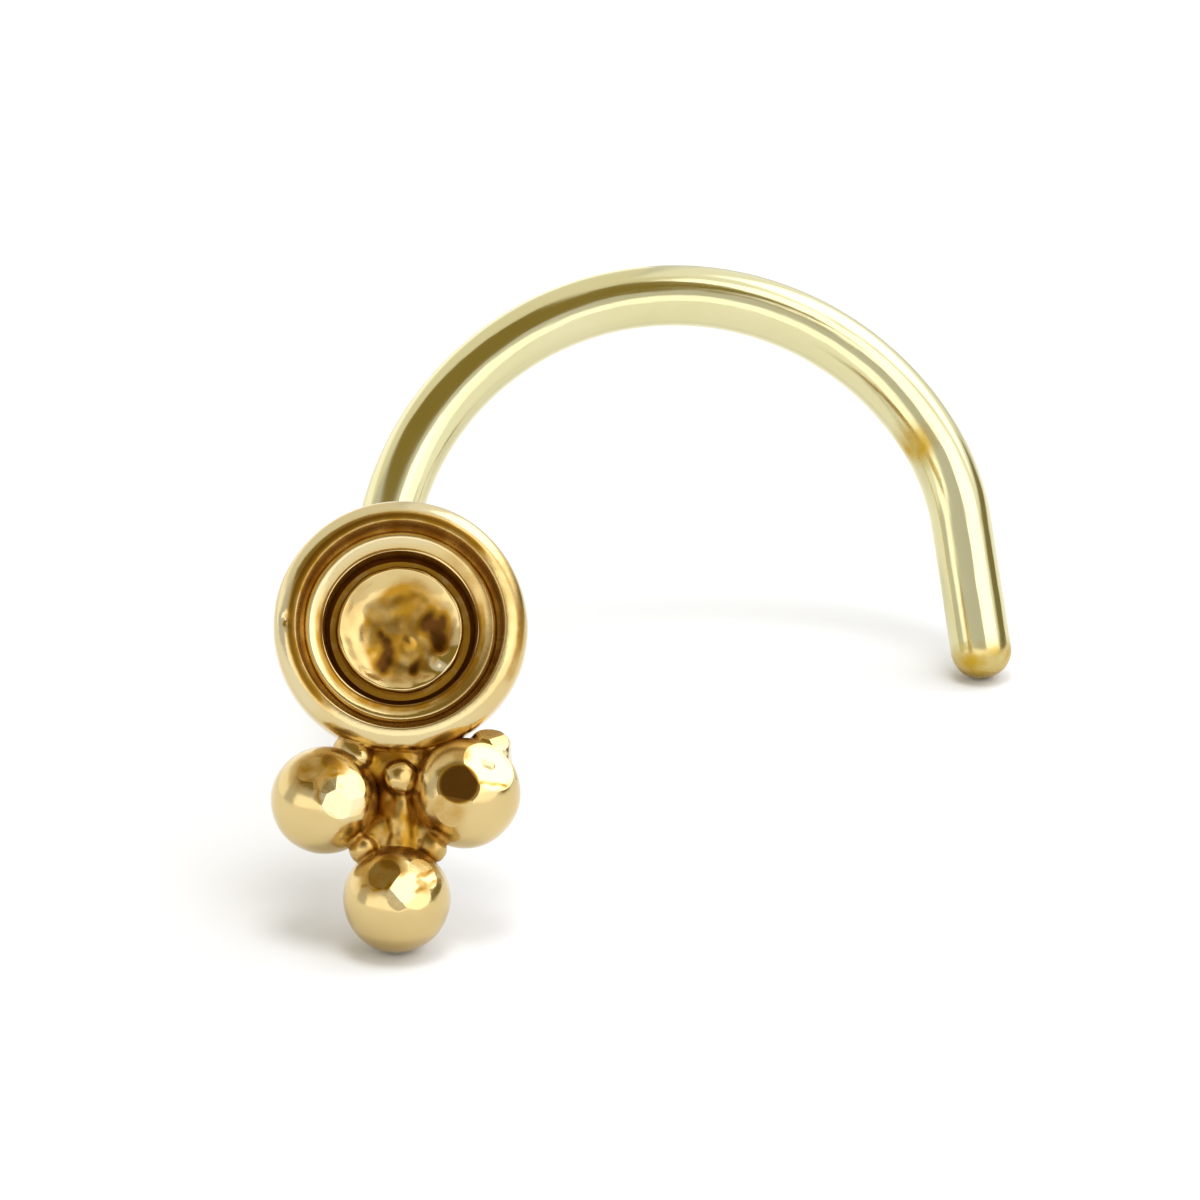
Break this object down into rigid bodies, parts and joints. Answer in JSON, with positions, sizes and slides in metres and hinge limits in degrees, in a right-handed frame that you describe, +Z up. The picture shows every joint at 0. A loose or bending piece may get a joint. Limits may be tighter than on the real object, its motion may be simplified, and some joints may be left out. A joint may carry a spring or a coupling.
{
  "type": "nose stud",
  "caption": "Gold nose stud: a round turned cup with an inner ring and a dished middle, a cluster of soldered grains under it, and a post bent into a round hook behind.",
  "frame": {"origin": "the middle of the bounding box, on the surface that the stud rests on", "axes": "+Z up from that surface; -Y the way the head faces, leaning back by about 29 degrees; +X to the right when the head is seen from its front, towards the wire's free end"},
  "size_m": [0.0098, 0.0124, 0.0053],
  "materials": {
    "yellow_gold": "cast and hand-finished yellow gold, polished, slightly uneven",
    "pale_gold_wire": "drawn wire of paler yellow gold, polished, with fine lengthwise drawing marks"
  },
  "bodies": {
    "root": {"nose_stud": "yellow_gold"}
  },
  "joints": []
}
